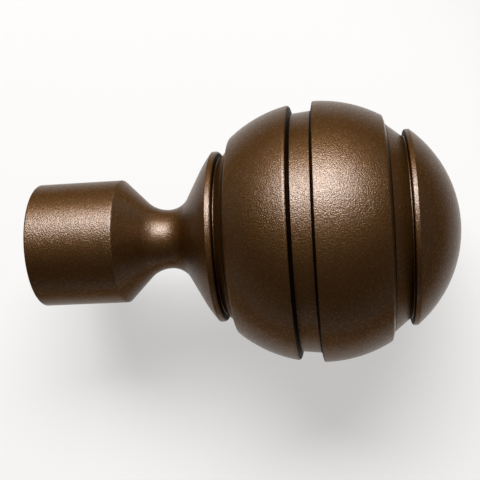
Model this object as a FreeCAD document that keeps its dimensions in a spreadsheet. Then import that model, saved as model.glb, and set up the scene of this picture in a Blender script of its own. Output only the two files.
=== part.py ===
import FreeCAD, Part
import math
import os
import Sketcher

# A finial for the end of a round curtain pole, turned from one piece of metal: a collar that slips over the
# pole, a waisted neck, a lipped saucer, a ball with two raised bands between three grooves, and a lipped cap.
# A grub screw under the collar clamps it to the pole. The pole's axis is X. The socket's mouth is at the
# origin, the ball points to +X and the grub screw faces down, to -Z.

# Driving dimensions, in millimetres and degrees
dimensions = {
    "pole_diameter": "28.0",
    "socket_clearance": "0.15",
    "socket_lead_in": "0.5",
    "socket_end_wall": "3.55",
    "collar_wall": "2.85",
    "collar_length": "23.55",
    "mouth_chamfer": "0.5",
    "shoulder_angle": "45.0",
    "neck_radius": "8.8",
    "waist_diameter": "16.2",
    "flare_radius": "6.7",
    "flare_straight": "7.8",
    "ball_diameter": "70.0",
    "saucer_lip_diameter": "46.6",
    "saucer_lip_width": "1.65",
    "saucer_lip_chamfer": "0.5",
    "cap_lip_diameter": "52.2",
    "cap_lip_width": "1.3",
    "cap_lip_chamfer": "0.35",
    "cap_height": "12.55",
    "recess_depth": "1.6",
    "rear_recess_width": "2.6",
    "front_recess_width": "4.8",
    "groove_depth": "2.45",
    "groove_width": "5.06",
    "groove_setback": "0.74",
    "groove_front_draft": "13.0",
    "wall_draft": "17.0",
    "rear_band_chamfer": "0.5",
    "screw_diameter": "4.0",
    "screw_clearance": "0.05",
    "screw_position": "11.0",
    "screw_inset": "0.2",
    "screw_chamfer": "0.3",
    "key_width": "2.0",
    "key_depth": "1.2",
}

doc = FreeCAD.newDocument("curtain_pole_finial")
sheet = doc.addObject("Spreadsheet::Sheet", "sizes")
for row, (alias, number) in enumerate(dimensions.items(), start=1):
    sheet.set(f"A{row}", alias.replace("_", " "))
    sheet.set(f"B{row}", number)
    sheet.setAlias(f"B{row}", alias)
doc.recompute()

# Sizes that several features share, as expressions over the sheet and as numbers to start the sketches from
BORE_RADIUS = "sizes.pole_diameter / 2 + sizes.socket_clearance"
COLLAR_RADIUS = f"{BORE_RADIUS} + sizes.collar_wall"
SOCKET_DEPTH = "sizes.collar_length - sizes.socket_end_wall"
BALL_RADIUS = "sizes.ball_diameter / 2"
bore_radius = sheet.pole_diameter / 2 + sheet.socket_clearance
collar_radius = bore_radius + sheet.collar_wall
socket_depth = sheet.collar_length - sheet.socket_end_wall
ball_radius = sheet.ball_diameter / 2

# Points of a sketch element, and the sketch's own origin, horizontal axis and normal
START, END, CENTRE = 1, 2, 3
ORIGIN = (-1, 1)
HORIZONTAL_AXIS = -1
UPRIGHT = FreeCAD.Vector(0, 0, 1)


def point(along, out):
    """Point of a section, along the pole's axis and out from it."""
    return FreeCAD.Vector(along, out, 0)


def arc(centre, start, end):
    """Arc about the centre, counter-clockwise from start to end."""
    circle = Part.Circle(centre, UPRIGHT, (start - centre).Length)
    return Part.ArcOfCircle(circle, circle.parameter(start), circle.parameter(end))


def new_sketch(body, name, plane_role):
    """Empty sketch on one of the body's own origin planes."""
    plane = next(item for item in body.Origin.OriginFeatures if item.Role == plane_role)
    sketch = body.newObject("Sketcher::SketchObject", name)
    sketch.AttachmentSupport = [(plane, "")]
    sketch.MapMode = "FlatFace"
    return sketch


def add_sizes(sketch, sizes):
    """Named dimensions, each with its rule, its starting value and the expression that drives it."""
    for name, (rule, value, expression) in sizes.items():
        number = sketch.addConstraint(Sketcher.Constraint(*rule, value))
        sketch.renameConstraint(number, name)
        sketch.setExpression(f"Constraints.{name}", expression)


def turned(body, kind, name, sketch):
    """Revolution or Groove of a section, all the way round the pole's axis."""
    feature = body.newObject(f"PartDesign::{kind}", name)
    feature.Profile = sketch
    feature.ReferenceAxis = (sketch, ["H_Axis"])
    feature.Angle = 360
    doc.recompute()


def chamfered(body, name, corners, size):
    """Chamfer on the ring edges that pass through these corners of the section."""
    base = body.Tip
    reach = 1e-4
    edges = []
    for number, edge in enumerate(base.Shape.Edges, start=1):
        if not edge.Degenerated and isinstance(edge.Curve, Part.Circle):
            ring = point(edge.Curve.Center.x, edge.Curve.Radius)
            if any(ring.isEqual(corner, reach) for corner in corners):
                edges.append(f"Edge{number}")
    if len(edges) != len(corners):
        raise ValueError(f"{name}: {len(corners)} corners, {len(edges)} edges")
    chamfer = body.newObject("PartDesign::Chamfer", name)
    chamfer.Base = (base, edges)
    chamfer.setExpression("Size", size)
    doc.recompute()


# Finial body: the blank, turned to the outline of collar, neck, saucer, ball and cap.
# The ball's centre follows from the neck: the ogee's straight touches the flare and the saucer, and the
# saucer is concentric with the ball. Each lip is a short cylinder that ends where it meets the ball.
finial = doc.addObject("PartDesign::Body", "finial_body")
finial.Label = "finial_body"

shoulder_lean = math.radians(sheet.shoulder_angle)
waist_radius = sheet.waist_diameter / 2
shoulder = point(sheet.collar_length, collar_radius)
cone_foot_radius = waist_radius + sheet.neck_radius * (1 - math.cos(shoulder_lean))
cone_length = (collar_radius - cone_foot_radius) / math.tan(shoulder_lean)
cone_foot = point(sheet.collar_length + cone_length, cone_foot_radius)
waist = point(cone_foot.x + sheet.neck_radius * math.sin(shoulder_lean), waist_radius)
neck_centre = point(waist.x, waist_radius + sheet.neck_radius)
flare_centre = point(waist.x, waist_radius + sheet.flare_radius)

saucer_lip_radius = sheet.saucer_lip_diameter / 2
cap_lip_radius = sheet.cap_lip_diameter / 2
saucer_face_setback = math.sqrt(ball_radius**2 - saucer_lip_radius**2)
cap_face_advance = math.sqrt(ball_radius**2 - cap_lip_radius**2)
saucer_radius = math.hypot(saucer_face_setback + sheet.saucer_lip_width, saucer_lip_radius)
centres_apart = math.hypot(sheet.flare_straight, sheet.flare_radius + saucer_radius)
ball_centre = point(waist.x + math.sqrt(centres_apart**2 - flare_centre.y**2), 0)
centre_line_fall = math.asin(flare_centre.y / centres_apart)
ogee_turn = math.atan2(sheet.flare_straight, sheet.flare_radius + saucer_radius)
ogee_normal = point(math.cos(centre_line_fall + ogee_turn), -math.sin(centre_line_fall + ogee_turn))
ogee_start = flare_centre + ogee_normal * sheet.flare_radius
ogee_end = ball_centre - ogee_normal * saucer_radius

saucer_face = point(ball_centre.x - saucer_face_setback, saucer_lip_radius)
saucer_edge = saucer_face - point(sheet.saucer_lip_width, 0)
cap_face = point(ball_centre.x + cap_face_advance, cap_lip_radius)
cap_edge = cap_face + point(sheet.cap_lip_width, 0)
tip = point(cap_edge.x + sheet.cap_height, 0)
cap_radius = (cap_lip_radius**2 + sheet.cap_height**2) / (2 * sheet.cap_height)
cap_centre = tip - point(cap_radius, 0)
mouth_corner = point(0, collar_radius)

profile = new_sketch(finial, "turned_profile", "XZ_Plane")
MOUTH, COLLAR, CONE, NECK, FLARE, OGEE, SAUCER, SAUCER_LIP, BALL, CAP_LIP, CAP, AXIS = range(12)
profile.addGeometry([
    Part.LineSegment(point(0, 0), mouth_corner),
    Part.LineSegment(mouth_corner, shoulder),
    Part.LineSegment(cone_foot, shoulder),
    arc(neck_centre, cone_foot, waist),
    arc(flare_centre, waist, ogee_start),
    Part.LineSegment(ogee_start, ogee_end),
    arc(ball_centre, saucer_edge, ogee_end),
    Part.LineSegment(saucer_edge, saucer_face),
    arc(ball_centre, cap_face, saucer_face),
    Part.LineSegment(cap_face, cap_edge),
    arc(cap_centre, tip, cap_edge),
    Part.LineSegment(tip, point(0, 0)),
])
profile.addConstraint([
    Sketcher.Constraint("Coincident", MOUTH, START, *ORIGIN),
    Sketcher.Constraint("Coincident", MOUTH, END, COLLAR, START),
    Sketcher.Constraint("Coincident", COLLAR, END, CONE, END),
    Sketcher.Constraint("Tangent", CONE, START, NECK, START),
    Sketcher.Constraint("Tangent", NECK, END, FLARE, START),
    Sketcher.Constraint("Tangent", FLARE, END, OGEE, START),
    Sketcher.Constraint("Tangent", OGEE, END, SAUCER, END),
    Sketcher.Constraint("Coincident", SAUCER, START, SAUCER_LIP, START),
    Sketcher.Constraint("Coincident", SAUCER_LIP, END, BALL, END),
    Sketcher.Constraint("Coincident", BALL, START, CAP_LIP, START),
    Sketcher.Constraint("Coincident", CAP_LIP, END, CAP, END),
    Sketcher.Constraint("Coincident", CAP, START, AXIS, START),
    Sketcher.Constraint("Coincident", AXIS, END, *ORIGIN),
    Sketcher.Constraint("Vertical", MOUTH),
    Sketcher.Constraint("Horizontal", COLLAR),
    Sketcher.Constraint("Vertical", NECK, CENTRE, NECK, END),
    Sketcher.Constraint("Coincident", SAUCER, CENTRE, BALL, CENTRE),
    Sketcher.Constraint("Horizontal", SAUCER_LIP),
    Sketcher.Constraint("PointOnObject", BALL, CENTRE, HORIZONTAL_AXIS),
    Sketcher.Constraint("Horizontal", CAP_LIP),
    Sketcher.Constraint("PointOnObject", CAP, CENTRE, HORIZONTAL_AXIS),
    Sketcher.Constraint("Horizontal", AXIS),
])
add_sizes(profile, {
    "collar_radius": (("DistanceY", *ORIGIN, MOUTH, END), collar_radius, COLLAR_RADIUS),
    "collar_length": (("DistanceX", *ORIGIN, COLLAR, END), shoulder.x, "sizes.collar_length"),
    "cone_slope": (("Angle", CONE), math.pi - shoulder_lean, "180 - sizes.shoulder_angle"),
    "neck_radius": (("Radius", NECK), sheet.neck_radius, "sizes.neck_radius"),
    "waist_radius": (("DistanceY", *ORIGIN, NECK, END), waist_radius, "sizes.waist_diameter / 2"),
    "flare_radius": (("Radius", FLARE), sheet.flare_radius, "sizes.flare_radius"),
    "flare_straight": (("Distance", OGEE), sheet.flare_straight, "sizes.flare_straight"),
    "saucer_lip_radius": (
        ("DistanceY", *ORIGIN, SAUCER_LIP, END), saucer_lip_radius, "sizes.saucer_lip_diameter / 2"),
    "saucer_lip_width": (("Distance", SAUCER_LIP), sheet.saucer_lip_width, "sizes.saucer_lip_width"),
    "ball_radius": (("Radius", BALL), ball_radius, BALL_RADIUS),
    "cap_lip_radius": (("DistanceY", *ORIGIN, CAP_LIP, START), cap_lip_radius, "sizes.cap_lip_diameter / 2"),
    "cap_lip_width": (("Distance", CAP_LIP), sheet.cap_lip_width, "sizes.cap_lip_width"),
    "cap_height": (("DistanceX", CAP_LIP, END, CAP, START), sheet.cap_height, "sizes.cap_height"),
})
# Measured places along the axis, which the grooves start from
for name, place in {
    "ball_centre": (BALL, CENTRE),
    "saucer_face": (SAUCER_LIP, END),
    "cap_face": (CAP_LIP, START),
}.items():
    along = profile.getPoint(*place).x
    measure = profile.addConstraint(Sketcher.Constraint("DistanceX", *ORIGIN, *place, along))
    profile.renameConstraint(measure, name)
    profile.setDriving(measure, False)
turned(finial, "Revolution", "turned_blank", profile)

# Socket for the pole, bored from the mouth with a lead-in and a flat end
BORE_LEAD, BORE_WALL, BORE_END, BORE_AXIS, BORE_MOUTH = range(5)
lead_corner = point(0, bore_radius + sheet.socket_lead_in)
bore_corner = point(sheet.socket_lead_in, bore_radius)
end_corner = point(socket_depth, bore_radius)
end_centre = point(socket_depth, 0)
socket_section = new_sketch(finial, "socket_section", "XZ_Plane")
socket_section.addGeometry([
    Part.LineSegment(lead_corner, bore_corner),
    Part.LineSegment(bore_corner, end_corner),
    Part.LineSegment(end_corner, end_centre),
    Part.LineSegment(end_centre, point(0, 0)),
    Part.LineSegment(point(0, 0), lead_corner),
])
socket_section.addConstraint([
    Sketcher.Constraint("Coincident", BORE_LEAD, END, BORE_WALL, START),
    Sketcher.Constraint("Coincident", BORE_WALL, END, BORE_END, START),
    Sketcher.Constraint("Coincident", BORE_END, END, BORE_AXIS, START),
    Sketcher.Constraint("Coincident", BORE_AXIS, END, BORE_MOUTH, START),
    Sketcher.Constraint("Coincident", BORE_MOUTH, END, BORE_LEAD, START),
    Sketcher.Constraint("Coincident", BORE_MOUTH, START, *ORIGIN),
    Sketcher.Constraint("Horizontal", BORE_WALL),
    Sketcher.Constraint("Vertical", BORE_END),
    Sketcher.Constraint("Horizontal", BORE_AXIS),
    Sketcher.Constraint("Vertical", BORE_MOUTH),
])
add_sizes(socket_section, {
    "bore_radius": (("DistanceY", *ORIGIN, BORE_WALL, START), bore_radius, BORE_RADIUS),
    "socket_depth": (("DistanceX", *ORIGIN, BORE_END, END), socket_depth, SOCKET_DEPTH),
    "lead_in_length": (("DistanceX", *ORIGIN, BORE_LEAD, END), bore_corner.x, "sizes.socket_lead_in"),
    "lead_in_step": (
        ("DistanceY", BORE_LEAD, END, BORE_LEAD, START), sheet.socket_lead_in, "sizes.socket_lead_in"),
})
turned(finial, "Groove", "socket", socket_section)


# Places along the axis, measured on the blank
BALL_CENTRE = "turned_profile.Constraints.ball_centre / 1 mm"
SAUCER_FACE = "turned_profile.Constraints.saucer_face / 1 mm"
CAP_FACE = "turned_profile.Constraints.cap_face / 1 mm"


def ball_groove(name, depth_name, rear_foot, rear_lean, front_foot, front_lean):
    """Groove turned into the ball. The feet of its walls lie at the same depth below the ball's surface, with
    a straight floor between them. Each wall is given by the place of its foot along the axis and its slope,
    both as a starting number and the expression that drives it. Returns the two corners where the walls come
    out of the ball."""
    depth = sheet.get(depth_name)
    floor_radius = ball_radius - depth
    clear_radius = ball_radius + depth
    corners = []
    walls = []
    for (foot_along, _), (slope, _) in ((rear_foot, rear_lean), (front_foot, front_lean)):
        foot = point(foot_along, math.sqrt(floor_radius**2 - (foot_along - ball_centre.x)**2))
        rise = point(math.cos(math.radians(slope)), math.sin(math.radians(slope)))
        lean = (foot - ball_centre).dot(rise)
        reaches = [
            math.sqrt(lean**2 + radius**2 - floor_radius**2) - lean for radius in (ball_radius, clear_radius)
        ]
        corners.append(foot + rise * reaches[0])
        walls.append(Part.LineSegment(foot, foot + rise * reaches[1]))
    rear_wall, front_wall = walls
    floor, rear, top, front = range(4)
    section = new_sketch(finial, f"{name}_section", "XZ_Plane")
    section.addGeometry([
        Part.LineSegment(front_wall.StartPoint, rear_wall.StartPoint),
        rear_wall,
        Part.LineSegment(rear_wall.EndPoint, front_wall.EndPoint),
        front_wall,
    ])
    rings = [Part.Circle(ball_centre, UPRIGHT, radius) for radius in (floor_radius, clear_radius)]
    floor_ring, clear_ring = section.addGeometry(rings, True)
    section.addConstraint([
        Sketcher.Constraint("Coincident", floor, END, rear, START),
        Sketcher.Constraint("Coincident", rear, END, top, START),
        Sketcher.Constraint("Coincident", top, END, front, END),
        Sketcher.Constraint("Coincident", front, START, floor, START),
        Sketcher.Constraint("Coincident", clear_ring, CENTRE, floor_ring, CENTRE),
        Sketcher.Constraint("PointOnObject", floor_ring, CENTRE, HORIZONTAL_AXIS),
        Sketcher.Constraint("PointOnObject", rear, START, floor_ring),
        Sketcher.Constraint("PointOnObject", front, START, floor_ring),
        Sketcher.Constraint("PointOnObject", rear, END, clear_ring),
        Sketcher.Constraint("PointOnObject", front, END, clear_ring),
    ])
    add_sizes(section, {
        "ball_centre": (("DistanceX", *ORIGIN, floor_ring, CENTRE), ball_centre.x, BALL_CENTRE),
        "floor_radius": (("Radius", floor_ring), floor_radius, f"{BALL_RADIUS} - sizes.{depth_name}"),
        "clear_radius": (("Radius", clear_ring), clear_radius, f"{BALL_RADIUS} + sizes.{depth_name}"),
        "rear_foot": (("DistanceX", *ORIGIN, rear, START), *rear_foot),
        "rear_slope": (("Angle", rear), math.radians(rear_lean[0]), rear_lean[1]),
        "front_foot": (("DistanceX", *ORIGIN, front, START), *front_foot),
        "front_slope": (("Angle", front), math.radians(front_lean[0]), front_lean[1]),
    })
    turned(finial, "Groove", name, section)
    return corners


# Three grooves leave two raised bands on the ball: a recess in front of the saucer's lip, a deeper groove
# just behind the equator, and a wide recess behind the cap's lip. The lips' faces stand square to the axis.
GROOVE_FRONT = f"{BALL_CENTRE} - sizes.groove_setback"
groove_front = ball_centre.x - sheet.groove_setback
square = (90, "90")
leaning_back = (90 + sheet.wall_draft, "90 + sizes.wall_draft")
leaning_forward = (90 - sheet.wall_draft, "90 - sizes.wall_draft")
leaning_slightly = (90 - sheet.groove_front_draft, "90 - sizes.groove_front_draft")
saucer_corner, rear_band_rear = ball_groove(
    "rear_recess", "recess_depth",
    (saucer_face.x, SAUCER_FACE), square,
    (saucer_face.x + sheet.rear_recess_width, f"{SAUCER_FACE} + sizes.rear_recess_width"), leaning_forward)
rear_band_front, _ = ball_groove(
    "centre_groove", "groove_depth",
    (groove_front - sheet.groove_width, f"{GROOVE_FRONT} - sizes.groove_width"), leaning_back,
    (groove_front, GROOVE_FRONT), leaning_slightly)
_, cap_corner = ball_groove(
    "front_recess", "recess_depth",
    (cap_face.x - sheet.front_recess_width, f"{CAP_FACE} - sizes.front_recess_width"), leaning_back,
    (cap_face.x, CAP_FACE), square)

# Edges broken on the lathe, none by more than half of the land or the wall that it runs along
chamfered(finial, "mouth_chamfer", [mouth_corner], "min(sizes.mouth_chamfer; sizes.collar_wall / 2)")
chamfered(finial, "saucer_lip_chamfer", [saucer_corner],
          "min(sizes.saucer_lip_chamfer; sizes.saucer_lip_width / 2)")
chamfered(finial, "cap_lip_chamfer", [cap_corner], "min(sizes.cap_lip_chamfer; sizes.cap_lip_width / 2)")
chamfered(finial, "rear_band_chamfer", [rear_band_rear, rear_band_front],
          "min(sizes.rear_band_chamfer; sizes.recess_depth / 2; sizes.groove_depth / 2)")

# Hole for the grub screw, through the underside of the collar
hole_radius = sheet.screw_diameter / 2 + sheet.screw_clearance
hole_section = new_sketch(finial, "screw_hole_section", "XY_Plane")
hole_ring = hole_section.addGeometry(
    Part.Circle(point(sheet.screw_position, 0), UPRIGHT, hole_radius))
hole_section.addConstraint(Sketcher.Constraint("PointOnObject", hole_ring, CENTRE, HORIZONTAL_AXIS))
add_sizes(hole_section, {
    "screw_position": (
        ("DistanceX", *ORIGIN, hole_ring, CENTRE), sheet.screw_position, "sizes.screw_position"),
    "hole_radius": (
        ("Radius", hole_ring), hole_radius, "sizes.screw_diameter / 2 + sizes.screw_clearance"),
})
screw_hole = finial.newObject("PartDesign::Pocket", "screw_hole")
screw_hole.Profile = hole_section
screw_hole.Type = "ThroughAll"
doc.recompute()

# Grub screw: a short headless screw with a hexagon socket, its ends just inside the collar's wall
screw = doc.addObject("PartDesign::Body", "grub_screw")
screw.Label = "grub_screw"
shank = screw.newObject("PartDesign::AdditiveCylinder", "screw_shank")
shank.setExpression("Radius", "sizes.screw_diameter / 2")
shank.setExpression("Height", "sizes.collar_wall - 2 * sizes.screw_inset")
doc.recompute()
key_socket = screw.newObject("PartDesign::SubtractivePrism", "key_socket")
key_socket.Polygon = 6
key_socket.setExpression("Circumradius", "sizes.key_width / 2 / cos(30)")
key_socket.setExpression("Height", "sizes.key_depth")
doc.recompute()
screw_radius = sheet.screw_diameter / 2
end_rings = [
    f"Edge{number}" for number, edge in enumerate(key_socket.Shape.Edges, start=1)
    if isinstance(edge.Curve, Part.Circle) and math.isclose(edge.Curve.Radius, screw_radius)
]
end_chamfer = screw.newObject("PartDesign::Chamfer", "screw_chamfer")
end_chamfer.Base = (key_socket, end_rings)
end_chamfer.setExpression("Size", "sizes.screw_chamfer")
screw.setExpression("Placement.Base.x", "sizes.screw_position")
screw.setExpression("Placement.Base.z", f"sizes.screw_inset - ({COLLAR_RADIUS})")
doc.recompute()

# Every feature has to have come out whole, and every cut has to have taken metal away
for item in doc.Objects:
    if {"Invalid", "Error"} & set(item.State):
        raise RuntimeError(f"{item.Name} failed")
    if item.isDerivedFrom("Sketcher::SketchObject") and not item.FullyConstrained:
        raise RuntimeError(f"{item.Name} is not fully constrained")
    takes_metal = item.TypeId in ("PartDesign::Groove", "PartDesign::Pocket", "PartDesign::SubtractivePrism")
    if takes_metal and item.Shape.Volume >= item.BaseFeature.Shape.Volume:
        raise RuntimeError(f"{item.Name} cuts nothing")
for body in (finial, screw):
    if body.Shape.isNull() or not body.Shape.isValid() or len(body.Shape.Solids) != 1:
        raise RuntimeError(f"{body.Label} is not one sound solid")

os.makedirs("parts", exist_ok=True)
for body in (finial, screw):
    body.Shape.exportStep(f"parts/{body.Label}.step")
    box = body.Shape.optimalBoundingBox()
    print(f"{body.Label}: {box.XLength:.2f} x {box.YLength:.2f} x {box.ZLength:.2f} mm, "
          f"volume {body.Shape.Volume:.0f} mm3")
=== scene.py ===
import math

import bpy
from mathutils import Matrix, Vector


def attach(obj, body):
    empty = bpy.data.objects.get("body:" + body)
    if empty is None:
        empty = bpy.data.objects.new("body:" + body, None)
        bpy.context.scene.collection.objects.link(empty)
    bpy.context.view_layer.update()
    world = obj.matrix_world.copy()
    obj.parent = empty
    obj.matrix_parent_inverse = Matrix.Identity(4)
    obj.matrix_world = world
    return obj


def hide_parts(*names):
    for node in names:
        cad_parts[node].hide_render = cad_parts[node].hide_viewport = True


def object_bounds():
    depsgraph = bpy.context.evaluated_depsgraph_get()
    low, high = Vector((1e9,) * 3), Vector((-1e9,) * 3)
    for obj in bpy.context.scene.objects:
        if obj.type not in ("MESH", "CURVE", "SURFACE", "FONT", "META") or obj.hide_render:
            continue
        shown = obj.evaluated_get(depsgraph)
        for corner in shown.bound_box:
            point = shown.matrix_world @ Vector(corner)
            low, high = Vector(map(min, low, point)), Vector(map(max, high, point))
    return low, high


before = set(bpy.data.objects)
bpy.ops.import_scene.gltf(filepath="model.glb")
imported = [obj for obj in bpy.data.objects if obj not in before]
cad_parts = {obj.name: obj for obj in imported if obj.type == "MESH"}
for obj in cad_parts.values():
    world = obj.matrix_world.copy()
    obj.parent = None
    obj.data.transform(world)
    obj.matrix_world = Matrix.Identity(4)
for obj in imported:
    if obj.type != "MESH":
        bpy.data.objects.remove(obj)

cad_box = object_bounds()

# Finial body
# One piece of aluminium, turned on a lathe to a collar, a waisted neck, a lipped saucer, a ball with two
# raised bands and a lipped cap, with the pole's socket bored into the collar. Its edges are rounded by the
# paint. Sizes are in millimetres along the pole's axis and out from it.
MILLIMETRE = 0.001
COLLAR_RADIUS = 17.0
COLLAR_LENGTH = 23.55
BORE_RADIUS = 14.15
SOCKET_DEPTH = 20.0
SOCKET_LEAD_IN = 0.5
SHOULDER_ANGLE = math.radians(45)
NECK_RADIUS = 8.8
WAIST_RADIUS = 8.1
FLARE_RADIUS = 6.7
FLARE_STRAIGHT = 7.8
BALL_RADIUS = 35.0
SAUCER_LIP_RADIUS = 23.3
SAUCER_LIP_WIDTH = 1.65
CAP_LIP_RADIUS = 26.1
CAP_LIP_WIDTH = 1.3
CAP_HEIGHT = 12.55
RECESS_DEPTH = 1.6
REAR_RECESS_WIDTH = 2.6
FRONT_RECESS_WIDTH = 4.8
GROOVE_DEPTH = 2.45
GROOVE_WIDTH = 5.06
GROOVE_SETBACK = 0.74
WALL_DRAFT = math.radians(17)
GROOVE_FRONT_DRAFT = math.radians(13)
MOUTH_ROUNDING = 0.5
SHOULDER_ROUNDING = 0.8
LIP_CREASE_ROUNDING = 0.15
SAUCER_LIP_ROUNDING = 0.8
CAP_LIP_ROUNDING = 0.5
REAR_BAND_ROUNDING = 0.85
FRONT_BAND_REAR_ROUNDING = 0.35
FRONT_BAND_FRONT_ROUNDING = 0.5
INNER_CORNER_ROUNDING = 0.25
POINT_SPACING = 0.6
SIDES = 208
SCREW_POSITION = 11.0
HOLE_RADIUS = 2.05
HOLE_REACH = 3.6
HOLE_SIDES = 48
CREASE_ANGLE = math.radians(35)
ROUNDING_STEP_DEGREES = 15
FEWEST_ROUNDING_STEPS = 3
SEAM_GAP = 1e-7


def arc_points(centre, radius, start, end):
    """Points along an arc of the section, from one bearing to another."""
    count = max(2, math.ceil(abs(end - start) * radius / POINT_SPACING))
    bearings = [start + (end - start) * step / count for step in range(count + 1)]
    return [centre + radius * Vector((math.cos(bearing), math.sin(bearing))) for bearing in bearings]


def bearing_of(place, centre):
    return math.atan2(place.y - centre.y, place.x - centre.x)


def straight_points(start, end):
    """Points along a straight stretch of the section."""
    count = max(1, math.ceil((end - start).length / POINT_SPACING))
    return [start.lerp(end, step / count) for step in range(count + 1)]


def wall_meets_ball(foot, lean):
    """Where a groove's wall, rising from its foot, comes out of the ball."""
    rise = Vector((math.sin(lean), math.cos(lean)))
    along = (foot - ball_centre).dot(rise)
    reach = math.sqrt(along**2 + BALL_RADIUS**2 - (foot - ball_centre).length_squared) - along
    return foot + rise * reach


def groove_foot(along, depth):
    """Foot of a groove's wall, at a depth below the ball's surface."""
    return Vector((along, math.sqrt((BALL_RADIUS - depth) ** 2 - (along - ball_centre.x) ** 2)))


def rounded_join(before, after, radius):
    """Joins two stretches of the section with a rounded corner."""
    corner = before[-1]
    arriving = (corner - before[-2]).normalized()
    leaving = (after[1] - after[0]).normalized()
    turn = arriving.angle_signed(leaving)
    setback = radius * math.tan(abs(turn) / 2)
    while len(before) > 1 and (before[-1] - corner).length < setback:
        before.pop()
    while len(after) > 1 and (after[0] - corner).length < setback:
        after.pop(0)
    start = corner - arriving * setback
    normal = Vector((arriving.y, -arriving.x)) * math.copysign(radius, turn)
    centre = start + normal
    steps = max(FEWEST_ROUNDING_STEPS, math.ceil(math.degrees(abs(turn)) / ROUNDING_STEP_DEGREES))
    spokes = [Matrix.Rotation(-turn * step / steps, 2) @ -normal for step in range(steps + 1)]
    return before + [centre + spoke for spoke in spokes] + after


cone_foot_radius = WAIST_RADIUS + NECK_RADIUS * (1 - math.cos(SHOULDER_ANGLE))
cone_foot = Vector((
    COLLAR_LENGTH + (COLLAR_RADIUS - cone_foot_radius) / math.tan(SHOULDER_ANGLE), cone_foot_radius))
waist_along = cone_foot.x + NECK_RADIUS * math.sin(SHOULDER_ANGLE)
neck_centre = Vector((waist_along, WAIST_RADIUS + NECK_RADIUS))
flare_centre = Vector((waist_along, WAIST_RADIUS + FLARE_RADIUS))
saucer_setback = math.sqrt(BALL_RADIUS**2 - SAUCER_LIP_RADIUS**2)
saucer_radius = math.hypot(saucer_setback + SAUCER_LIP_WIDTH, SAUCER_LIP_RADIUS)
centres_apart = math.hypot(FLARE_STRAIGHT, FLARE_RADIUS + saucer_radius)
ball_centre = Vector((waist_along + math.sqrt(centres_apart**2 - flare_centre.y**2), 0))
ogee_bearing = -math.asin(flare_centre.y / centres_apart) - math.atan2(
    FLARE_STRAIGHT, FLARE_RADIUS + saucer_radius)
ogee_normal = Vector((math.cos(ogee_bearing), math.sin(ogee_bearing)))
saucer_face = Vector((ball_centre.x - saucer_setback, SAUCER_LIP_RADIUS))
saucer_edge = saucer_face - Vector((SAUCER_LIP_WIDTH, 0))
cap_face = Vector((ball_centre.x + math.sqrt(BALL_RADIUS**2 - CAP_LIP_RADIUS**2), CAP_LIP_RADIUS))
cap_edge = cap_face + Vector((CAP_LIP_WIDTH, 0))
cap_radius = (CAP_LIP_RADIUS**2 + CAP_HEIGHT**2) / (2 * CAP_HEIGHT)
cap_centre = Vector((cap_edge.x + CAP_HEIGHT - cap_radius, 0))

rear_floor_rear = groove_foot(saucer_face.x, RECESS_DEPTH)
rear_floor_front = groove_foot(saucer_face.x + REAR_RECESS_WIDTH, RECESS_DEPTH)
centre_floor_front = groove_foot(ball_centre.x - GROOVE_SETBACK, GROOVE_DEPTH)
centre_floor_rear = groove_foot(centre_floor_front.x - GROOVE_WIDTH, GROOVE_DEPTH)
front_floor_front = groove_foot(cap_face.x, RECESS_DEPTH)
front_floor_rear = groove_foot(cap_face.x - FRONT_RECESS_WIDTH, RECESS_DEPTH)
rear_band_rear = wall_meets_ball(rear_floor_front, WALL_DRAFT)
rear_band_front = wall_meets_ball(centre_floor_rear, -WALL_DRAFT)
front_band_rear = wall_meets_ball(centre_floor_front, GROOVE_FRONT_DRAFT)
front_band_front = wall_meets_ball(front_floor_rear, -WALL_DRAFT)

# The section runs from the socket's end out to the mouth, along the outside and in to the tip
bore_end = Vector((SOCKET_DEPTH, BORE_RADIUS))
bore_start = Vector((SOCKET_LEAD_IN, BORE_RADIUS))
lead_in_edge = Vector((0, BORE_RADIUS + SOCKET_LEAD_IN))
mouth_edge = Vector((0, COLLAR_RADIUS))
shoulder = Vector((COLLAR_LENGTH, COLLAR_RADIUS))
neck = (
    straight_points(shoulder, cone_foot)
    + arc_points(neck_centre, NECK_RADIUS, -math.pi / 2 - SHOULDER_ANGLE, -math.pi / 2)
    + arc_points(flare_centre, FLARE_RADIUS, -math.pi / 2, ogee_bearing)
    + straight_points(flare_centre + ogee_normal * FLARE_RADIUS, ball_centre - ogee_normal * saucer_radius)
    + arc_points(ball_centre, saucer_radius, ogee_bearing + math.pi, bearing_of(saucer_edge, ball_centre)))


def ball_points(start, end):
    """Points along the ball's own surface."""
    return arc_points(
        ball_centre, BALL_RADIUS, bearing_of(start, ball_centre), bearing_of(end, ball_centre))


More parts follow.
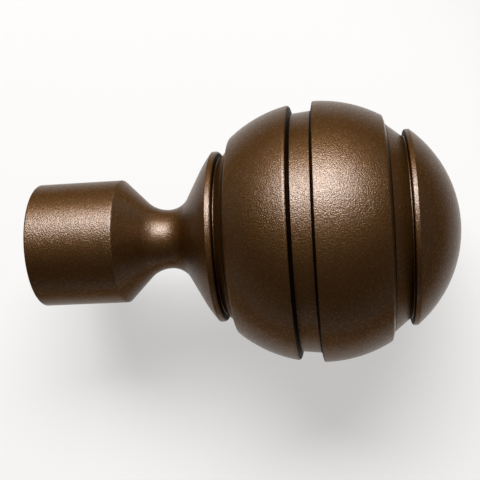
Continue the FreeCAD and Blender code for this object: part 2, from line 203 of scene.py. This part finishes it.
section = straight_points(Vector((SOCKET_DEPTH, 0)), bore_end)
for stretch, rounding in [
    (straight_points(bore_end, bore_start), INNER_CORNER_ROUNDING),
    (straight_points(bore_start, lead_in_edge), INNER_CORNER_ROUNDING),
    (straight_points(lead_in_edge, mouth_edge), INNER_CORNER_ROUNDING),
    (straight_points(mouth_edge, shoulder), MOUTH_ROUNDING),
    (neck, SHOULDER_ROUNDING),
    (straight_points(saucer_edge, saucer_face), LIP_CREASE_ROUNDING),
    (straight_points(saucer_face, rear_floor_rear), SAUCER_LIP_ROUNDING),
    (straight_points(rear_floor_rear, rear_floor_front), INNER_CORNER_ROUNDING),
    (straight_points(rear_floor_front, rear_band_rear), INNER_CORNER_ROUNDING),
    (ball_points(rear_band_rear, rear_band_front), REAR_BAND_ROUNDING),
    (straight_points(rear_band_front, centre_floor_rear), REAR_BAND_ROUNDING),
    (straight_points(centre_floor_rear, centre_floor_front), INNER_CORNER_ROUNDING),
    (straight_points(centre_floor_front, front_band_rear), INNER_CORNER_ROUNDING),
    (ball_points(front_band_rear, front_band_front), FRONT_BAND_REAR_ROUNDING),
    (straight_points(front_band_front, front_floor_rear), FRONT_BAND_FRONT_ROUNDING),
    (straight_points(front_floor_rear, front_floor_front), INNER_CORNER_ROUNDING),
    (straight_points(front_floor_front, cap_face), INNER_CORNER_ROUNDING),
    (straight_points(cap_face, cap_edge), CAP_LIP_ROUNDING),
    (arc_points(cap_centre, cap_radius, bearing_of(cap_edge, cap_centre), 0), LIP_CREASE_ROUNDING),
]:
    section = rounded_join(section, stretch, rounding)

CLOUD_SCALE = 60
CLOUD_DETAIL = 4


def pigment_group():
    """Flecks of metal pigment and slow clouds of tone."""
    group = bpy.data.node_groups.new("pigment", "ShaderNodeTree")
    group.interface.new_socket("Grain Size", in_out="INPUT", socket_type="NodeSocketFloat")
    for name in ("Fleck", "Cloud"):
        group.interface.new_socket(name, in_out="OUTPUT", socket_type="NodeSocketFloat")
    nodes, links = group.nodes, group.links
    inputs = nodes.new("NodeGroupInput")
    outputs = nodes.new("NodeGroupOutput")
    place = nodes.new("ShaderNodeTexCoord")
    scale = nodes.new("ShaderNodeMath")
    scale.operation = "DIVIDE"
    scale.inputs[0].default_value = 1
    links.new(inputs.outputs["Grain Size"], scale.inputs[1])

    flecks = nodes.new("ShaderNodeTexVoronoi")
    links.new(place.outputs["Object"], flecks.inputs["Vector"])
    links.new(scale.outputs[0], flecks.inputs["Scale"])
    pick = nodes.new("ShaderNodeSeparateColor")
    links.new(flecks.outputs["Color"], pick.inputs[0])
    links.new(pick.outputs[0], outputs.inputs["Fleck"])

    clouds = nodes.new("ShaderNodeTexNoise")
    clouds.inputs["Scale"].default_value = CLOUD_SCALE
    clouds.inputs["Detail"].default_value = CLOUD_DETAIL
    links.new(place.outputs["Object"], clouds.inputs["Vector"])
    links.new(clouds.outputs["Fac"], outputs.inputs["Cloud"])
    return group


pigment = pigment_group()


def painted_groove_shade_group():
    """Painted shade on the steep walls and in the corners of the grooves, where shade falls, as a share
    from 0 to 1.
    """
    group = bpy.data.node_groups.new("painted_groove_shade", "ShaderNodeTree")
    group.interface.new_socket("Fade", in_out="INPUT", socket_type="NodeSocketFloat")
    group.interface.new_socket("Painted Shade", in_out="OUTPUT", socket_type="NodeSocketFloat")
    nodes, links = group.nodes, group.links
    inputs = nodes.new("NodeGroupInput")
    outputs = nodes.new("NodeGroupOutput")
    place = nodes.new("ShaderNodeTexCoord")
    apart = nodes.new("ShaderNodeSeparateXYZ")
    links.new(place.outputs["Object"], apart.inputs[0])
    gathered = None
    # A pair of the same point twice is a thin line of painted shade in a recess's corner
    for foot, edge in (
        (rear_floor_rear, saucer_face), (rear_floor_front, rear_floor_front),
        (centre_floor_rear, rear_band_front), (centre_floor_front, front_band_rear),
        (front_floor_rear, front_floor_rear), (front_floor_front, cap_face),
    ):
        within = nodes.new("ShaderNodeMath")
        within.operation = "SUBTRACT"
        within.inputs[1].default_value = (foot.x + edge.x) / 2 * MILLIMETRE
        links.new(apart.outputs["X"], within.inputs[0])
        distance = nodes.new("ShaderNodeMath")
        distance.operation = "ABSOLUTE"
        links.new(within.outputs[0], distance.inputs[0])
        past = nodes.new("ShaderNodeMath")
        past.operation = "SUBTRACT"
        past.inputs[1].default_value = abs(foot.x - edge.x) / 2 * MILLIMETRE
        links.new(distance.outputs[0], past.inputs[0])
        fade = nodes.new("ShaderNodeMapRange")
        fade.interpolation_type = "SMOOTHSTEP"
        fade.inputs["To Min"].default_value = 1
        fade.inputs["To Max"].default_value = 0
        links.new(past.outputs[0], fade.inputs["Value"])
        links.new(inputs.outputs["Fade"], fade.inputs["From Max"])
        if gathered is None:
            gathered = fade.outputs["Result"]
        else:
            either = nodes.new("ShaderNodeMath")
            either.operation = "MAXIMUM"
            links.new(gathered, either.inputs[0])
            links.new(fade.outputs["Result"], either.inputs[1])
            gathered = either.outputs[0]
    links.new(gathered, outputs.inputs["Painted Shade"])
    return group


painted_groove_shade = painted_groove_shade_group()

# Near-black colour of the painted shade on the groove walls and in the recess corners
GROOVE_SHADE_DARK = (0.012, 0.0065, 0.003, 1)
GROOVE_SHADE_FADE = 0.00025
BRONZE_DARK = (0.079, 0.033, 0.006, 1)
BRONZE_LIGHT = (0.099, 0.043, 0.009, 1)
BRONZE_FLECK = (0.14, 0.069, 0.025, 1)
BRONZE_EDGE = (0.74, 0.7, 0.66, 1)
PAINT_METALLIC = 0.96
PAINT_ROUGHNESS = 0.56
FLECK_ROUGHNESS = 0.46
FLECK_THRESHOLD = 0.7
COAT_IOR = 1.8
COAT_ROUGHNESS = 0.25
COAT_FACING = 0.9
COAT_SIDE = 0.01
COAT_SIDE_FROM = 0.42
COAT_RIM = 0.75
COAT_RIM_FROM = 0.5
PAINT_GRAIN_SIZE = 0.00036
PAINT_GRAIN_HEIGHT = 0.000115
PAINT_GRAIN_HARSHNESS = 0.6


def bronze_paint_material():
    """Bronze paint with a fine sprayed texture and a satin shine."""
    material = bpy.data.materials.new("bronze_paint")
    material.use_nodes = True
    nodes, links = material.node_tree.nodes, material.node_tree.links
    surface = nodes["Principled BSDF"]
    surface.inputs["Metallic"].default_value = PAINT_METALLIC
    surface.inputs["Specular Tint"].default_value = BRONZE_EDGE
    surface.inputs["Coat IOR"].default_value = COAT_IOR
    surface.inputs["Coat Roughness"].default_value = COAT_ROUGHNESS

    grain = nodes.new("ShaderNodeGroup")
    grain.node_tree = pigment
    grain.inputs["Grain Size"].default_value = PAINT_GRAIN_SIZE

    tone = nodes.new("ShaderNodeMix")
    tone.data_type = "RGBA"
    tone.inputs["A"].default_value = BRONZE_DARK
    tone.inputs["B"].default_value = BRONZE_LIGHT
    links.new(grain.outputs["Cloud"], tone.inputs["Factor"])

    rare = nodes.new("ShaderNodeMapRange")
    rare.inputs["From Min"].default_value = FLECK_THRESHOLD
    links.new(grain.outputs["Fleck"], rare.inputs["Value"])
    speckled = nodes.new("ShaderNodeMix")
    speckled.data_type = "RGBA"
    speckled.inputs["B"].default_value = BRONZE_FLECK
    links.new(rare.outputs["Result"], speckled.inputs["Factor"])
    links.new(tone.outputs["Result"], speckled.inputs["A"])

    # Painted shade: the base colour turns near black on the groove walls and in the recess corners
    groove_shade_share = nodes.new("ShaderNodeGroup")
    groove_shade_share.node_tree = painted_groove_shade
    groove_shade_share.inputs["Fade"].default_value = GROOVE_SHADE_FADE
    shaded_colour = nodes.new("ShaderNodeMix")
    shaded_colour.data_type = "RGBA"
    shaded_colour.inputs["B"].default_value = GROOVE_SHADE_DARK
    links.new(groove_shade_share.outputs["Painted Shade"], shaded_colour.inputs["Factor"])
    links.new(speckled.outputs["Result"], shaded_colour.inputs["A"])
    links.new(shaded_colour.outputs["Result"], surface.inputs["Base Color"])

    shine = nodes.new("ShaderNodeMapRange")
    shine.inputs["To Min"].default_value = PAINT_ROUGHNESS
    shine.inputs["To Max"].default_value = FLECK_ROUGHNESS
    links.new(grain.outputs["Fleck"], shine.inputs["Value"])
    links.new(shine.outputs["Result"], surface.inputs["Roughness"])

    facing = nodes.new("ShaderNodeLayerWeight")
    glancing = nodes.new("ShaderNodeMapRange")
    glancing.inputs["From Max"].default_value = COAT_SIDE_FROM
    glancing.inputs["To Min"].default_value = COAT_FACING
    glancing.inputs["To Max"].default_value = COAT_SIDE
    links.new(facing.outputs["Facing"], glancing.inputs["Value"])
    rim = nodes.new("ShaderNodeMapRange")
    rim.inputs["From Min"].default_value = COAT_RIM_FROM
    rim.inputs["To Max"].default_value = COAT_RIM
    links.new(facing.outputs["Facing"], rim.inputs["Value"])
    shown = nodes.new("ShaderNodeMath")
    shown.operation = "ADD"
    links.new(glancing.outputs["Result"], shown.inputs[0])
    links.new(rim.outputs["Result"], shown.inputs[1])
    # The coat is taken away where the groove shade is painted, so no shine shows there
    coat_outside_shade = nodes.new("ShaderNodeMapRange")
    coat_outside_shade.inputs["To Min"].default_value = 1
    coat_outside_shade.inputs["To Max"].default_value = 0
    links.new(groove_shade_share.outputs["Painted Shade"], coat_outside_shade.inputs["Value"])
    coat = nodes.new("ShaderNodeMath")
    coat.operation = "MULTIPLY"
    links.new(shown.outputs[0], coat.inputs[0])
    links.new(coat_outside_shade.outputs["Result"], coat.inputs[1])
    links.new(coat.outputs[0], surface.inputs["Coat Weight"])

    place = nodes.new("ShaderNodeTexCoord")
    sprayed = nodes.new("ShaderNodeTexNoise")
    sprayed.inputs["Scale"].default_value = 1 / PAINT_GRAIN_SIZE
    sprayed.inputs["Roughness"].default_value = PAINT_GRAIN_HARSHNESS
    links.new(place.outputs["Object"], sprayed.inputs["Vector"])
    bump = nodes.new("ShaderNodeBump")
    bump.inputs["Distance"].default_value = PAINT_GRAIN_HEIGHT
    links.new(sprayed.outputs["Fac"], bump.inputs["Height"])
    links.new(bump.outputs["Normal"], surface.inputs["Normal"])
    links.new(bump.outputs["Normal"], surface.inputs["Coat Normal"])
    return material


def lathe_tree():
    """Turns a section, a chain of points in X and Y, about the X axis and drills the screw's hole."""
    tree = bpy.data.node_groups.new("lathe", "GeometryNodeTree")
    tree.interface.new_socket("Section", in_out="INPUT", socket_type="NodeSocketGeometry")
    tree.interface.new_socket("Sides", in_out="INPUT", socket_type="NodeSocketInt")
    tree.interface.new_socket("Hole Radius", in_out="INPUT", socket_type="NodeSocketFloat")
    tree.interface.new_socket("Finish", in_out="INPUT", socket_type="NodeSocketMaterial")
    tree.interface.new_socket("Turned", in_out="OUTPUT", socket_type="NodeSocketGeometry")
    nodes, links = tree.nodes, tree.links
    inputs = nodes.new("NodeGroupInput")
    outputs = nodes.new("NodeGroupOutput")

    def integer(operation, first, second):
        node = nodes.new("FunctionNodeIntegerMath")
        node.operation = operation
        for socket, value in zip(node.inputs, (first, second)):
            if isinstance(value, int):
                socket.default_value = value
            else:
                links.new(value, socket)
        return node.outputs[0]

    def number(operation, first, second=0.0):
        node = nodes.new("ShaderNodeMath")
        node.operation = operation
        for socket, value in zip(node.inputs, (first, second)):
            if isinstance(value, float):
                socket.default_value = value
            else:
                links.new(value, socket)
        return node.outputs[0]

    points = nodes.new("GeometryNodeAttributeDomainSize")
    links.new(inputs.outputs["Section"], points.inputs["Geometry"])
    around = integer("ADD", inputs.outputs["Sides"], 1)
    sheet = nodes.new("GeometryNodeMeshGrid")
    links.new(points.outputs["Point Count"], sheet.inputs["Vertices X"])
    links.new(around, sheet.inputs["Vertices Y"])

    index = nodes.new("GeometryNodeInputIndex").outputs[0]
    on_section = nodes.new("GeometryNodeSampleIndex")
    on_section.data_type = "FLOAT_VECTOR"
    place = nodes.new("GeometryNodeInputPosition")
    links.new(inputs.outputs["Section"], on_section.inputs["Geometry"])
    links.new(place.outputs[0], on_section.inputs["Value"])
    links.new(integer("DIVIDE_FLOOR", index, around), on_section.inputs["Index"])
    drawn = nodes.new("ShaderNodeSeparateXYZ")
    links.new(on_section.outputs["Value"], drawn.inputs[0])

    step = number("DIVIDE", math.tau, inputs.outputs["Sides"])
    angle = number("MULTIPLY", integer("MODULO", index, around), step)
    swung = nodes.new("ShaderNodeCombineXYZ")
    links.new(drawn.outputs["X"], swung.inputs["X"])
    links.new(number("MULTIPLY", drawn.outputs["Y"], number("COSINE", angle)), swung.inputs["Y"])
    links.new(number("MULTIPLY", drawn.outputs["Y"], number("SINE", angle)), swung.inputs["Z"])

    turned = nodes.new("GeometryNodeSetPosition")
    links.new(sheet.outputs["Mesh"], turned.inputs["Geometry"])
    links.new(swung.outputs[0], turned.inputs["Position"])
    closed = nodes.new("GeometryNodeMergeByDistance")
    closed.inputs["Distance"].default_value = SEAM_GAP
    links.new(turned.outputs[0], closed.inputs["Geometry"])
    outward = nodes.new("GeometryNodeFlipFaces")
    links.new(closed.outputs[0], outward.inputs["Mesh"])

    drill = nodes.new("GeometryNodeMeshCylinder")
    drill.inputs["Vertices"].default_value = HOLE_SIDES
    drill.inputs["Depth"].default_value = 2 * HOLE_REACH * MILLIMETRE
    links.new(inputs.outputs["Hole Radius"], drill.inputs["Radius"])
    centred = nodes.new("GeometryNodeTransform")
    centred.inputs["Translation"].default_value = (
        SCREW_POSITION * MILLIMETRE, 0, -COLLAR_RADIUS * MILLIMETRE)
    links.new(drill.outputs["Mesh"], centred.inputs["Geometry"])
    drilled = nodes.new("GeometryNodeMeshBoolean")
    drilled.operation = "DIFFERENCE"
    drilled.solver = "MANIFOLD"
    links.new(outward.outputs[0], drilled.inputs["Mesh 1"])
    links.new(centred.outputs[0], drilled.inputs["Mesh 2"])

    smooth = nodes.new("GeometryNodeSetShadeSmooth")
    links.new(drilled.outputs["Mesh"], smooth.inputs["Geometry"])
    bend = nodes.new("GeometryNodeInputMeshEdgeAngle")
    crease = nodes.new("GeometryNodeSetShadeSmooth")
    crease.domain = "EDGE"
    crease.inputs["Shade Smooth"].default_value = False
    sharp = number("GREATER_THAN", bend.outputs["Unsigned Angle"], CREASE_ANGLE)
    links.new(smooth.outputs[0], crease.inputs["Geometry"])
    links.new(sharp, crease.inputs["Selection"])
    real = nodes.new("GeometryNodeRealizeInstances")
    links.new(crease.outputs[0], real.inputs["Geometry"])
    finish = nodes.new("GeometryNodeSetMaterial")
    links.new(real.outputs[0], finish.inputs["Geometry"])
    links.new(inputs.outputs["Finish"], finish.inputs["Material"])
    links.new(finish.outputs[0], outputs.inputs["Turned"])
    return tree


drawn_section = bpy.data.meshes.new("finial_section")
drawn_section.from_pydata(
    [(place.x * MILLIMETRE, place.y * MILLIMETRE, 0) for place in section],
    [(step, step + 1) for step in range(len(section) - 1)], [])
finial = bpy.data.objects.new("finial", drawn_section)
bpy.context.scene.collection.objects.link(finial)
lathe = finial.modifiers.new("lathe", "NODES")
lathe.node_group = lathe_tree()
settings = {"Sides": SIDES, "Hole Radius": HOLE_RADIUS * MILLIMETRE, "Finish": bronze_paint_material()}
for socket in lathe.node_group.interface.items_tree:
    if socket.name in settings:
        lathe[socket.identifier] = settings[socket.name]
turned_mesh = bpy.data.meshes.new_from_object(finial.evaluated_get(bpy.context.evaluated_depsgraph_get()))
finial.modifiers.remove(lathe)
finial.data = turned_mesh
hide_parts("finial_body")
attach(finial, "root")

# Grub screw
# A short headless screw of steel with a hexagon socket, blackened in a bath of hot salts. It sits in a
# threaded hole in the collar's underside, just below the surface, and clamps the pole's end in the socket.
SCREW_BLACK = (0.02, 0.02, 0.022, 1)
SCREW_METALLIC = 0.9
SCREW_RUBBED_ROUGHNESS = 0.3
SCREW_ROUGHNESS = 0.5
SCREW_GRAIN_SIZE = 0.0002


def screw_steel_material():
    """Black oxide on steel, a little brighter where a key has rubbed it."""
    material = bpy.data.materials.new("screw_steel")
    material.use_nodes = True
    nodes, links = material.node_tree.nodes, material.node_tree.links
    surface = nodes["Principled BSDF"]
    surface.inputs["Metallic"].default_value = SCREW_METALLIC
    surface.inputs["Base Color"].default_value = SCREW_BLACK
    grain = nodes.new("ShaderNodeGroup")
    grain.node_tree = pigment
    grain.inputs["Grain Size"].default_value = SCREW_GRAIN_SIZE
    shine = nodes.new("ShaderNodeMapRange")
    shine.inputs["To Min"].default_value = SCREW_RUBBED_ROUGHNESS
    shine.inputs["To Max"].default_value = SCREW_ROUGHNESS
    links.new(grain.outputs["Fleck"], shine.inputs["Value"])
    links.new(shine.outputs["Result"], surface.inputs["Roughness"])
    return material


grub_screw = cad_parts["grub_screw"]
grub_screw.data.materials.clear()
grub_screw.data.materials.append(screw_steel_material())

# Floor
# A plain table top just under the ball, covered with white paper. Its white is a painted pool of light,
# even all round the object, which fades softly to painted grey further off.
floor_height = cad_box[0][2]
FLOOR_HALF_WIDTH = 20.0
FLOOR_WHITE = (0.86, 0.86, 0.86, 1)
FLOOR_GLOW = 0.6
# Painted grey beyond the pool of light, where the light is painted as falling away
FLOOR_PAINTED_DIM = (0.3, 0.3, 0.3, 1)
FLOOR_ROUGHNESS = 0.9
PAINTED_POOL_CENTRE = (-0.01, -0.14, floor_height)
PAINTED_POOL_REACH = (0.14, 0.213, 1)
PAINTED_POOL_FADE = 1.9
floor_corners = ((-1, -1), (1, -1), (1, 1), (-1, 1))
floor_mesh = bpy.data.meshes.new("floor")
floor_mesh.from_pydata(
    [(x * FLOOR_HALF_WIDTH, y * FLOOR_HALF_WIDTH, floor_height) for x, y in floor_corners],
    [], [(0, 1, 2, 3)])
floor = bpy.data.objects.new("floor", floor_mesh)
bpy.context.scene.collection.objects.link(floor)


def floor_white_material():
    """White paper that glows a little, so that the object's shadow stays light, inside a painted pool of
    light that fades to grey.
    """
    material = bpy.data.materials.new("floor_white")
    material.use_nodes = True
    nodes, links = material.node_tree.nodes, material.node_tree.links
    paper = nodes["Principled BSDF"]
    paper.inputs["Roughness"].default_value = FLOOR_ROUGHNESS
    place = nodes.new("ShaderNodeTexCoord")
    painted_pool = nodes.new("ShaderNodeMapping")
    painted_pool.vector_type = "TEXTURE"
    painted_pool.inputs["Location"].default_value = PAINTED_POOL_CENTRE
    painted_pool.inputs["Scale"].default_value = PAINTED_POOL_REACH
    links.new(place.outputs["Object"], painted_pool.inputs["Vector"])

    # Fourth powers make the painted pool of light a rectangle with rounded corners
    squared = nodes.new("ShaderNodeVectorMath")
    squared.operation = "MULTIPLY"
    links.new(painted_pool.outputs["Vector"], squared.inputs[0])
    links.new(painted_pool.outputs["Vector"], squared.inputs[1])
    spread = nodes.new("ShaderNodeVectorMath")
    spread.operation = "LENGTH"
    links.new(squared.outputs["Vector"], spread.inputs[0])
    distance = nodes.new("ShaderNodeMath")
    distance.operation = "SQRT"
    links.new(spread.outputs["Value"], distance.inputs[0])
    # The painted pool of light fades from white to grey here
    fade = nodes.new("ShaderNodeMapRange")
    fade.interpolation_type = "SMOOTHSTEP"
    fade.inputs["From Min"].default_value = 1
    fade.inputs["From Max"].default_value = PAINTED_POOL_FADE
    links.new(distance.outputs["Value"], fade.inputs["Value"])
    shade = nodes.new("ShaderNodeMix")
    shade.data_type = "RGBA"
    shade.inputs["A"].default_value = FLOOR_WHITE
    shade.inputs["B"].default_value = FLOOR_PAINTED_DIM
    links.new(fade.outputs["Result"], shade.inputs["Factor"])
    links.new(shade.outputs["Result"], paper.inputs["Base Color"])

    glow = nodes.new("ShaderNodeEmission")
    links.new(shade.outputs["Result"], glow.inputs["Color"])
    ray = nodes.new("ShaderNodeLightPath")
    seen = ray.outputs["Is Camera Ray"]
    for kind in ("Is Glossy Ray", "Is Transmission Ray"):
        either = nodes.new("ShaderNodeMath")
        either.operation = "MAXIMUM"
        links.new(seen, either.inputs[0])
        links.new(ray.outputs[kind], either.inputs[1])
        seen = either.outputs[0]
    share = nodes.new("ShaderNodeMath")
    share.operation = "MULTIPLY"
    share.inputs[1].default_value = FLOOR_GLOW
    links.new(seen, share.inputs[0])
    blend = nodes.new("ShaderNodeMixShader")
    links.new(share.outputs[0], blend.inputs["Fac"])
    links.new(paper.outputs["BSDF"], blend.inputs[1])
    links.new(glow.outputs["Emission"], blend.inputs[2])
    links.new(blend.outputs["Shader"], nodes["Material Output"].inputs["Surface"])
    return material


floor_mesh.materials.append(floor_white_material())

# Light
# One wide soft box beyond the object, leaning over it. The room is dim and warm overhead, with grey walls
# round the horizon.
scene = bpy.context.scene
ROOM_LIGHT = (0.086, 0.058, 0.028, 1)
ROOM_WALLS = (0.22, 0.213, 0.2, 1)
HORIZON_HEIGHT = 0.15
KEY_OVER = 0.05
KEY_FROM_VERTICAL = math.radians(44)
KEY_FROM_RIGHT = math.radians(1.5)
KEY_DISTANCE = 1.6
KEY_WIDTH = 1.8
KEY_DEPTH = 0.7
KEY_POWER = 50


def dim_room():
    """Dim warm light overhead that turns to grey walls at the horizon."""
    room = bpy.data.worlds.new("room")
    room.use_nodes = True
    nodes, links = room.node_tree.nodes, room.node_tree.links
    direction = nodes.new("ShaderNodeTexCoord")
    height = nodes.new("ShaderNodeSeparateXYZ")
    links.new(direction.outputs["Generated"], height.inputs[0])
    horizon = nodes.new("ShaderNodeMapRange")
    horizon.interpolation_type = "SMOOTHSTEP"
    horizon.inputs["From Max"].default_value = HORIZON_HEIGHT
    links.new(height.outputs["Z"], horizon.inputs["Value"])
    walls = nodes.new("ShaderNodeMix")
    walls.data_type = "RGBA"
    walls.inputs["A"].default_value = ROOM_WALLS
    walls.inputs["B"].default_value = ROOM_LIGHT
    links.new(horizon.outputs["Result"], walls.inputs["Factor"])
    links.new(walls.outputs["Result"], nodes["Background"].inputs["Color"])
    return room


scene.world = dim_room()
key = bpy.data.lights.new("soft_box", "AREA")
key.shape = "ELLIPSE"
key.size = KEY_WIDTH
key.size_y = KEY_DEPTH
key.energy = KEY_POWER
soft_box = bpy.data.objects.new("soft_box", key)
soft_box.matrix_world = (
    Matrix.Translation((KEY_OVER, 0, 0))
    @ Matrix.Rotation(KEY_FROM_RIGHT, 4, "Y")
    @ Matrix.Rotation(-KEY_FROM_VERTICAL, 4, "X")
    @ Matrix.Translation((0, 0, KEY_DISTANCE)))
scene.collection.objects.link(soft_box)

# Camera
# Above the ball, looking straight down and turned a little towards the collar. The pole's axis runs across
# the picture and rises a little to the right.
CAMERA_ALONG = 0.084375
CAMERA_HEIGHT = 0.231205
CAMERA_PAN = math.radians(7.169)
CAMERA_TILT = math.radians(-0.297)
CAMERA_ROLL = math.radians(-2.896)
FOCAL_LENGTH_PIXELS = 850
PICTURE_WIDTH_PIXELS = 480
SENSOR_WIDTH = 36
lens = bpy.data.cameras.new("camera")
lens.sensor_width = SENSOR_WIDTH
lens.lens = SENSOR_WIDTH * FOCAL_LENGTH_PIXELS / PICTURE_WIDTH_PIXELS
camera = bpy.data.objects.new("camera", lens)
camera.matrix_world = (
    Matrix.Translation((CAMERA_ALONG, 0, CAMERA_HEIGHT))
    @ Matrix.Rotation(CAMERA_PAN, 4, "Y")
    @ Matrix.Rotation(CAMERA_TILT, 4, "X")
    @ Matrix.Rotation(CAMERA_ROLL, 4, "Z"))
scene.collection.objects.link(camera)
scene.camera = camera
scene.view_settings.view_transform = "Standard"
